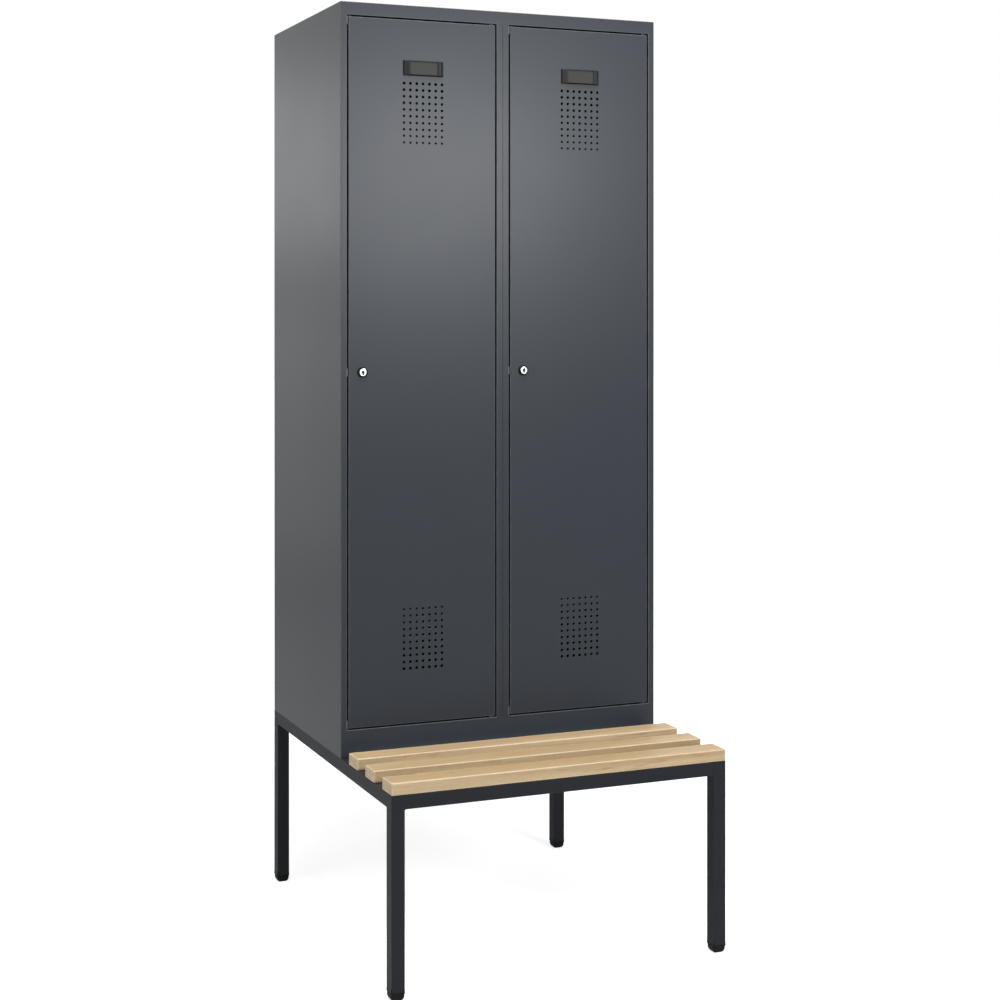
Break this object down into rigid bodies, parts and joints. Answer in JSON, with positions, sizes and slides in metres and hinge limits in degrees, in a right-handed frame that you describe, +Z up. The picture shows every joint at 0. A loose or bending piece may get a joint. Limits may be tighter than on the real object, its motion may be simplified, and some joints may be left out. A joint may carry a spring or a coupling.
{
  "type": "clothes locker with bench",
  "caption": "Sheet steel clothes locker with side by side hinged doors, standing on a square tube bench frame whose wooden slats form a seat in front of the doors.",
  "frame": {"origin": "on the floor under the middle of the piece's overall width and depth", "axes": "+Z up, -Y the side with the bench and the doors, +X to the right seen from the front"},
  "size_m": [0.8, 0.815, 2.1273],
  "materials": {
    "body_paint": "fine powder coat, satin",
    "frame_paint": "fine powder coat, satin",
    "beech": "clear lacquer, satin",
    "glide_plastic": "moulded, matt",
    "label_plastic": "moulded, satin",
    "label_card": "matt",
    "lock_black": "satin black",
    "lock_nickel": "polished nickel",
    "zinc_steel": "zinc plated",
    "rail_steel": "drawn tube, bright",
    "hook_plastic": "moulded, satin",
    "buffer_rubber": "matt grey"
  },
  "bodies": {
    "locker": {"frame_leg_front_left": "frame_paint", "frame_leg_front_right": "frame_paint", "frame_leg_rear_left": "frame_paint", "frame_leg_rear_right": "frame_paint", "frame_front_rail": "frame_paint", "frame_rear_rail": "frame_paint", "frame_cross_rail": "frame_paint", "frame_left_rail": "frame_paint", "frame_right_rail": "frame_paint", "foot_glide_front_left": "glide_plastic", "foot_glide_front_right": "glide_plastic", "foot_glide_rear_left": "glide_plastic", "foot_glide_rear_right": "glide_plastic", "bench_slat_front": "beech", "bench_slat_middle": "beech", "bench_slat_rear": "beech", "body_bolt_front_left": "zinc_steel", "body_bolt_front_right": "zinc_steel", "body_bolt_rear_left": "zinc_steel", "body_bolt_rear_right": "zinc_steel", "left_side_panel": "body_paint", "right_side_panel": "body_paint", "top_panel": "body_paint", "bottom_panel": "body_paint", "back_panel": "body_paint", "partition_panel": "body_paint", "partition_stile": "body_paint", "left_hat_shelf": "body_paint", "right_hat_shelf": "body_paint", "left_coat_rail": "rail_steel", "right_coat_rail": "rail_steel", "left_hinge_pin_top": "zinc_steel", "left_hinge_pin_bottom": "zinc_steel", "right_hinge_pin_top": "zinc_steel", "right_hinge_pin_bottom": "zinc_steel", "left_door_buffer": "buffer_rubber", "right_door_buffer": "buffer_rubber"},
    "left_door": {"left_door": "body_paint", "left_door_stiffener": "body_paint", "left_label_holder": "label_plastic", "left_label_card": "label_card", "left_lock_housing": "lock_black", "left_lock_nut": "zinc_steel"},
    "right_door": {"right_door": "body_paint", "right_door_stiffener": "body_paint", "right_label_holder": "label_plastic", "right_label_card": "label_card", "right_lock_housing": "lock_black", "right_lock_nut": "zinc_steel"},
    "left_lock": {"left_lock_cylinder": "lock_nickel", "left_lock_cam": "zinc_steel"},
    "right_lock": {"right_lock_cylinder": "lock_nickel", "right_lock_cam": "zinc_steel"},
    "left_hook_1": {"left_coat_hook_1": "hook_plastic"},
    "left_hook_2": {"left_coat_hook_2": "hook_plastic"},
    "left_hook_3": {"left_coat_hook_3": "hook_plastic"},
    "right_hook_1": {"right_coat_hook_1": "hook_plastic"},
    "right_hook_2": {"right_coat_hook_2": "hook_plastic"},
    "right_hook_3": {"right_coat_hook_3": "hook_plastic"}
  },
  "joints": [
    {"name": "left_door_hinge", "type": "hinge", "parent": "locker", "child": "left_door", "pos_m": [-0.02815, -0.0855, 1.2933], "axis": [0, 0, 1], "range_deg": [0, 105]},
    {"name": "right_door_hinge", "type": "hinge", "parent": "locker", "child": "right_door", "pos_m": [0.372, -0.0855, 1.2933], "axis": [0, 0, 1], "range_deg": [0, 105]},
    {"name": "left_lock_turn", "type": "hinge", "parent": "left_door", "child": "left_lock", "pos_m": [-0.3478, -0.0925, 1.2933], "axis": [0, 1, 0], "range_deg": [0, 90]},
    {"name": "right_lock_turn", "type": "hinge", "parent": "right_door", "child": "right_lock", "pos_m": [0.05235, -0.0925, 1.2933], "axis": [0, 1, 0], "range_deg": [0, 90]},
    {"name": "left_hook_1_slide", "type": "slide", "parent": "locker", "child": "left_hook_1", "axis": [1, 0, 0], "range_m": [-0.04, 0.04]},
    {"name": "left_hook_2_slide", "type": "slide", "parent": "locker", "child": "left_hook_2", "axis": [1, 0, 0], "range_m": [-0.04, 0.04]},
    {"name": "left_hook_3_slide", "type": "slide", "parent": "locker", "child": "left_hook_3", "axis": [1, 0, 0], "range_m": [-0.04, 0.04]},
    {"name": "right_hook_1_slide", "type": "slide", "parent": "locker", "child": "right_hook_1", "axis": [1, 0, 0], "range_m": [-0.04, 0.04]},
    {"name": "right_hook_2_slide", "type": "slide", "parent": "locker", "child": "right_hook_2", "axis": [1, 0, 0], "range_m": [-0.04, 0.04]},
    {"name": "right_hook_3_slide", "type": "slide", "parent": "locker", "child": "right_hook_3", "axis": [1, 0, 0], "range_m": [-0.04, 0.04]}
  ]
}
